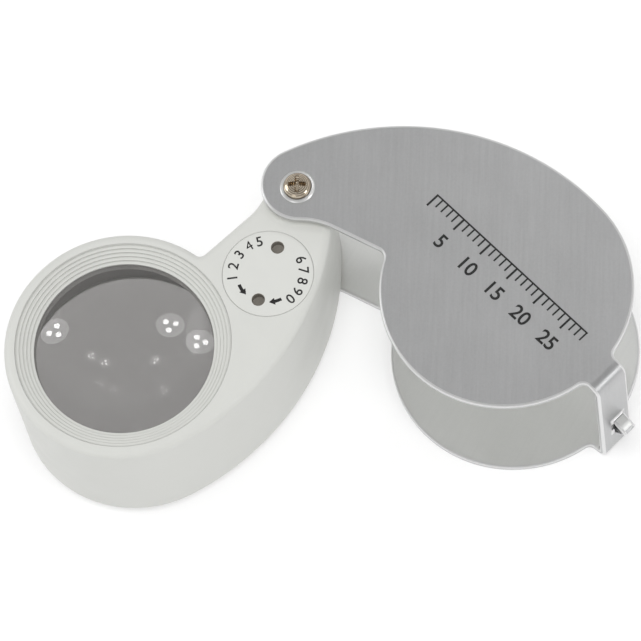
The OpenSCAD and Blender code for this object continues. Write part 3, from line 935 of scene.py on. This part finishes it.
class LOUPE_OT_optics(bpy.types.Operator):
    """Stepped bezel, the two lenses and the ring between them"""

    bl_idname = "loupe.optics"
    bl_label = "Optics"

    def lens(self, name, s, low_z, up, material):
        """A lens with its flatter face up or down, its rim ground and slightly chamfered."""
        r = (UPPER_HIGH.x - UPPER_LOW.x) / 2
        sag = [c - math.sqrt(c * c - r * r) for c in (s.flat_curve, s.steep_curve)]
        rim = low_z + (sag[1] if up else sag[0])
        curves = (s.steep_curve, s.flat_curve) if up else (s.flat_curve, s.steep_curve)
        steps = 20

        def face(curve, base, sign):
            depth = curve - math.sqrt(curve * curve - r * r)
            return [
                (q, base + sign * (depth - (curve - math.sqrt(curve * curve - q * q))))
                for q in (r * 0.995 * k / steps + 1e-6 for k in range(steps + 1))
            ]

        lower = face(curves[0], rim, -1)
        upper = face(curves[1], rim + s.edge, 1)
        profile = lower + [(r, rim + 0.05 * MM), (r, rim + s.edge - 0.05 * MM)] + upper[::-1]
        piece = turned(name, profile, LENS_AT, material, 128)
        shade(piece, 20)
        return piece

    def execute(self, context):
        s = context.scene.loupe_optics
        body = context.scene.loupe_body
        top, floor = BEZEL_HIGH.z, BEZEL_LOW.z
        start = s.bezel_r - 0.06 * MM
        pitch, drop = (start - s.sight_r) / s.steps, s.drop / s.steps
        profile = [(s.bezel_r, floor), (s.bezel_r, top - 0.05 * MM)]
        for k in range(s.steps):
            r, z = start - pitch * k, top - 0.05 * MM - drop * k
            profile += [
                (r + 0.03 * MM, z), (r, z - 0.03 * MM), (r - 0.01 * MM, z - drop - 0.05 * MM),
                (r - 0.09 * MM, z - drop - 0.05 * MM), (r - 0.12 * MM, z - drop),
            ]
        z = top - 0.05 * MM - s.drop
        profile += [(s.sight_r + 0.03 * MM, z), (s.sight_r, z - 0.03 * MM), (s.sight_r, floor)]
        finish = plastic("bezel paint", body.paint, body.paint_shade, (0.34, 0.45), 9000.0, 0.08, 0.3)
        bezel = turned("bezel_ring", profile, LENS_AT, finish, 192, closed=True)
        shade(bezel, 30)
        place(bezel, "lens_body", "bezel_plastic", "lens_bezel")

        # The glass is tinted grey: painted shade for the shaded floor under the body, since the lenses cast
        # no shadow.
        clear = glass("lens glass", s.glass)
        upper = self.lens("upper_glass", s, UPPER_LOW.z, True, clear)
        lower = self.lens("lower_glass", s, LOWER_LOW.z, False, clear)
        place(upper, "lens_body", "lens_glass", "upper_lens")
        place(lower, "lens_body", "lens_glass", "lower_lens")
        for piece in (upper, lower):
            piece.visible_shadow = False
        grey = plastic("spacer grey", (0.42, 0.415, 0.4), (0.36, 0.355, 0.34), (0.5, 0.7))
        paint_node("lens_spacer", grey)
        return {"FINISHED"}


class LOUPE_OT_cover(bpy.types.Operator):
    """Battery cover with its spanner holes and turning marks"""

    bl_idname = "loupe.cover"
    bl_label = "Battery Cover"

    def arrow(self, centre, r, a0, a1):
        """A curved block arrow from a0 to a1."""
        way = 1 if a1 > a0 else -1
        head = a1 - way * 11
        half, wide = 0.22 * MM, 0.5 * MM
        inner, outer = arc(centre, r - half, a0, head, 0, 4.0), arc(centre, r + half, head, a0, 0, 4.0)
        tip = ((r - wide, head), (r, a1), (r + wide, head))
        point = [Vector(centre) + q * turn(a) for q, a in tip]
        return inner + point + outer

    def execute(self, context):
        s = context.scene.loupe_cover
        body = context.scene.loupe_body
        r, top, c = (COVER_HIGH.x - COVER_LOW.x) / 2 + 0.02 * MM, COVER_HIGH.z, s.chamfer
        low = COVER_LOW.z
        plate_low = top - s.plate
        threads = []
        turns = 4
        pitch, root_r = (plate_low - low - 0.1 * MM) / turns, s.skirt_r - 0.12 * MM
        for k in range(turns):
            z = low + 0.05 * MM + pitch * k
            threads += [
                (root_r, z), (s.skirt_r, z + pitch * 0.45), (s.skirt_r, z + pitch * 0.55),
                (root_r, z + pitch * 0.98),
            ]
        profile = [(0.01 * MM, low), (s.skirt_r - 0.25 * MM, low)] + threads + [
            (root_r, plate_low), (r, plate_low), (r, top - c), (r - 0.3 * c, top - 0.35 * c),
            (r - c, top), (r - c - 0.5 * MM, top), (0.01 * MM, top),
        ]
        light = [1.03 * v for v in body.paint]
        finish = plastic("cover paint", light, body.paint, (0.32, 0.44), 9000.0, 0.08, 0.4)
        # The insides of the spanner holes get a dark brown colour: painted shade for the shade deep in the
        # holes.
        painted_shade = plastic("hole grime", (0.3, 0.28, 0.25), (0.18, 0.165, 0.14), (0.5, 0.7), 9000.0, 0.3, 0.5)
        cover = turned("cover_disc", profile, COVER_AT, finish, 128)
        cover.data.materials.append(painted_shade)
        line = turn(math.degrees(s.hole_turn) - OPEN_ANGLE)
        for sign in (-1, 1):
            centre = COVER_AT.xy + sign * s.hole_gap / 2 * line
            q = s.hole_r
            bore = [
                (0.01 * MM, top - s.hole_depth - 0.3 * MM), (q, top - s.hole_depth), (q, top - 0.05 * MM),
                (q + 0.05 * MM, top + 0.001 * MM), (q + 0.05 * MM, top + MM), (0.01 * MM, top + MM),
            ]
            tool = turned("tool", bore, centre, sides=48)
            # The bore's faces take material 1, the painted shade, into the holes.
            for material in cover.data.materials:
                tool.data.materials.append(material)
            for face in tool.data.polygons:
                face.material_index = 1
            carve(cover, tool)
        shade(cover, 28)
        place(cover, "battery_cover", "cover_metal", "battery_cover")

        verts, faces = [], []
        thick, foot = 0.012 * MM, top - 0.004 * MM
        centre = COVER_AT.xy
        turn_back = -OPEN_ANGLE
        printed(verts, faces, self.arrow(centre, s.mark_r, -21 + turn_back, 3 + turn_back), foot, thick)
        printed(verts, faces, self.arrow(centre, s.mark_r, 74 + turn_back, 50 + turn_back), foot, thick)
        black = ink("cover ink", s.ink)
        place(piece_from("cover_arrows", verts, faces, black), "battery_cover", "spacer_black")
        for text, a in zip("1234567890", (-36, -57, -79, -100, -118, 161, 142, 123, 104, 87)):
            at = Vector(centre) + s.mark_r * turn(a + turn_back)
            spin = math.radians(a + turn_back - 90)
            name = f"cover_number_{text}"
            number = figure(name, text, s.dial_number, s.weight * 0.5, at, spin, foot, thick, black)
            place(number, "battery_cover", "spacer_black")
        return {"FINISHED"}


class LOUPE_OT_scale(bpy.types.Operator):
    """Printed scale of ticks and plain numbers on the top plate"""

    bl_idname = "loupe.scale"
    bl_label = "Printed Scale"

    def execute(self, context):
        s = context.scene.loupe_cover
        top = SHEET_HIGH.z
        along, up = turn(math.degrees(s.scale_turn)), turn(math.degrees(s.scale_turn) + 90)
        start = Vector(s.scale_start)
        verts, faces = [], []
        thick, foot = 0.012 * MM, top - 0.004 * MM
        for k in range(s.scale_length + 1):
            tall = s.tick if k % 5 == 0 else s.tick * 0.68
            wide = s.line if k % 5 == 0 else s.line * 0.8
            p = start + k * MM * along
            corners = [
                p - wide / 2 * along + (s.tick - tall) * up, p + wide / 2 * along + (s.tick - tall) * up,
                p + wide / 2 * along + s.tick * up, p - wide / 2 * along + s.tick * up,
            ]
            printed(verts, faces, corners, foot, thick)
        a = start - s.line / 2 * along + s.tick * up
        b = a + (s.scale_length * MM + s.line) * along
        printed(verts, faces, [a, b, b + s.line * 0.8 * up, a + s.line * 0.8 * up], foot, thick)
        black = ink("scale ink", s.ink)
        ticks = piece_from("scale_ticks", verts, faces, black)
        place(ticks, "case", "spacer_black")
        for k in range(5, s.scale_length + 1, 5):
            p = start + k * MM * along - s.number_drop * up
            name = f"scale_number_{k}"
            number = figure(name, str(k), s.number, s.weight, p, s.scale_turn, foot, thick, black)
            place(number, "case", "spacer_black")
        return {"FINISHED"}


class LOUPE_OT_insides(bpy.types.Operator):
    """Finishes for the lamps, wires, contacts and cells inside the body"""

    bl_idname = "loupe.insides"
    bl_label = "Insides"

    def execute(self, context):
        brass = brushed("strip brass", (0.76, 0.6, 0.28), (0.62, 0.47, 0.2), (0.25, 0.35))
        cell = brushed("cell steel", (0.72, 0.72, 0.7), (0.6, 0.6, 0.58), (0.2, 0.3))
        spring = brushed("spring steel", (0.6, 0.6, 0.6), (0.5, 0.5, 0.5), (0.25, 0.35))
        resin = plastic(
            "lamp resin", (0.86, 0.87, 0.82), (0.8, 0.81, 0.74), (0.08, 0.14), 2000.0, 0.02, 0.3,
            Transmission_Weight=0.35,
        )
        red = plastic("red sleeve", (0.5, 0.03, 0.02), (0.4, 0.02, 0.02), (0.35, 0.5))
        black = plastic("black sleeve", (0.02, 0.02, 0.02), (0.015, 0.015, 0.015), (0.35, 0.5))
        for material, names in (
            (brass, ("switch_wiper", "positive_strip", "cover_contact")),
            (cell, ("coin_cell_1", "coin_cell_2", "coin_cell_3")),
            (spring, ("battery_spring",)),
            (resin, ("led_left", "led_right")),
            (red, ("positive_wire",)),
            (black, ("negative_wire",)),
        ):
            for name in names:
                paint_node(name, material)
        return {"FINISHED"}


class LOUPE_OT_stage(bpy.types.Operator):
    """Pale floor, soft lights and the camera"""

    bl_idname = "loupe.stage"
    bl_label = "Stage"

    def lamp(self, context, name, direction, distance, size, watts, aim=(0.0, 0.0, 0.01), mirrored=True):
        data = bpy.data.lights.new(name, "AREA")
        data.shape = "DISK"
        data.size = size
        data.energy = watts
        light = bpy.data.objects.new(name, data)
        context.scene.collection.objects.link(light)
        way = Vector(direction).normalized()
        light.location = Vector(aim) + way * distance
        light.rotation_euler = way.to_track_quat("Z", "Y").to_euler()
        light.visible_glossy = mirrored
        light.visible_transmission = mirrored

    def execute(self, context):
        s = context.scene.loupe_stage
        paper = Finish(
            "floor", Roughness=0.85, Specular_IOR_Level=0.1, Emission_Color=(1, 1, 1, 1),
            Emission_Strength=s.glow,
        )
        grain = paper.use(
            moulded_grain, Colour=colour4(s.floor), Shade=colour4([c * 0.985 for c in s.floor]),
            Grain=300.0, Mottle=20.0,
        )
        paper.base(grain.outputs["Colour"])
        w = 1.5
        z = CAD_BOX[0].z - 0.02 * MM
        corners = [(-w, -w, z), (w, -w, z), (w, w, z), (-w, w, z)]
        floor = piece_from("floor", corners, [(0, 1, 2, 3)], paper.material)

        world = bpy.data.worlds.new("room")
        context.scene.world = world
        world.use_nodes = True
        sky = Wiring(world.node_tree)
        height = sky.add("SeparateXYZ")
        sky.join(sky.add("TexCoord").outputs["Generated"], height.inputs[0])
        background = world.node_tree.nodes["Background"]
        background.inputs["Color"].default_value = (1.0, 1.0, 1.0, 1.0)
        sky.join(sky.span(height.outputs["Z"], 0.5, 0.9, s.room, s.ceiling), background.inputs["Strength"])

        self.lamp(context, "key softbox", (0.12, -0.18, 0.97), 1.3, 0.6, 7.5, mirrored=False)
        self.lamp(context, "left softbox", (-0.9, -0.35, 0.5), 0.9, 0.5, 1.35)
        self.lamp(context, "right softbox", (0.84, 0.02, 0.54), 0.9, 0.28, 0.85)
        self.lamp(context, "front softbox", (0.05, -0.87, 0.5), 0.9, 0.35, 0.3)
        spots = (
            ("left", (-0.562, 0.197, 0.802)), ("right", (0.013, 0.446, 0.895)),
            ("back", (-0.139, 0.447, 0.884)),
        )
        for side, way in spots:
            toward = Vector(way).normalized()
            self.lamp(context, f"{side} round lamp", toward, 0.8, 0.1, 0.055, aim=LENS_AT)
            across = toward.cross(Vector((0, 0, 1))).normalized()
            over = across.cross(toward)
            for k in range(3):
                a = math.radians(90 + 120 * k)
                spot = LENS_AT + 0.02 * (across * math.cos(a) + over * math.sin(a))
                self.lamp(context, f"{side} bulb {k + 1}", toward, 0.78, 0.02, 0.014, aim=spot)

        azimuth, elevation, roll = s.azimuth, s.elevation, s.roll
        right = Vector((math.cos(azimuth), math.sin(azimuth), 0.0))
        level = math.cos(elevation)
        back = Vector((math.sin(azimuth) * level, -math.cos(azimuth) * level, math.sin(elevation)))
        up = back.cross(right)
        x = right * math.cos(roll) + up * math.sin(roll)
        y = up * math.cos(roll) - right * math.sin(roll)
        data = bpy.data.cameras.new("camera")
        data.sensor_width = 36.0
        data.lens = s.focal
        data.clip_start = 0.05
        data.clip_end = 20.0
        camera = bpy.data.objects.new("camera", data)
        context.scene.collection.objects.link(camera)
        matrix = Matrix((x, y, back)).transposed().to_4x4()
        matrix.translation = Vector(s.target) + back * s.distance
        camera.matrix_world = matrix
        context.scene.camera = camera
        context.scene.view_settings.view_transform = "Standard"
        return {"FINISHED"}


class LOUPE_PT_panel(bpy.types.Panel):
    """Buttons for the loupe's pieces"""

    bl_idname = "LOUPE_PT_panel"
    bl_label = "Folding Loupe"
    bl_space_type = "VIEW_3D"
    bl_region_type = "UI"
    bl_category = "Loupe"

    def draw(self, context):
        for maker in MAKERS:
            self.layout.operator(maker.bl_idname)


MAKERS = (
    LOUPE_OT_stage, LOUPE_OT_case, LOUPE_OT_pivot, LOUPE_OT_body, LOUPE_OT_optics,
    LOUPE_OT_cover, LOUPE_OT_scale, LOUPE_OT_insides,
)
SETTINGS = {
    "loupe_case": CaseSettings,
    "loupe_body": BodySettings,
    "loupe_optics": OpticsSettings,
    "loupe_cover": CoverSettings,
    "loupe_stage": StageSettings,
}


def register():
    for cls in (*SETTINGS.values(), *MAKERS, LOUPE_PT_panel):
        bpy.utils.register_class(cls)
    for name, cls in SETTINGS.items():
        setattr(bpy.types.Scene, name, bpy.props.PointerProperty(type=cls))


def unregister():
    for name in SETTINGS:
        delattr(bpy.types.Scene, name)
    for cls in reversed((*SETTINGS.values(), *MAKERS, LOUPE_PT_panel)):
        bpy.utils.unregister_class(cls)


def main():
    register()
    for maker in MAKERS:
        family, name = maker.bl_idname.split(".")
        getattr(getattr(bpy.ops, family), name)()


if __name__ == "__main__":
    main()
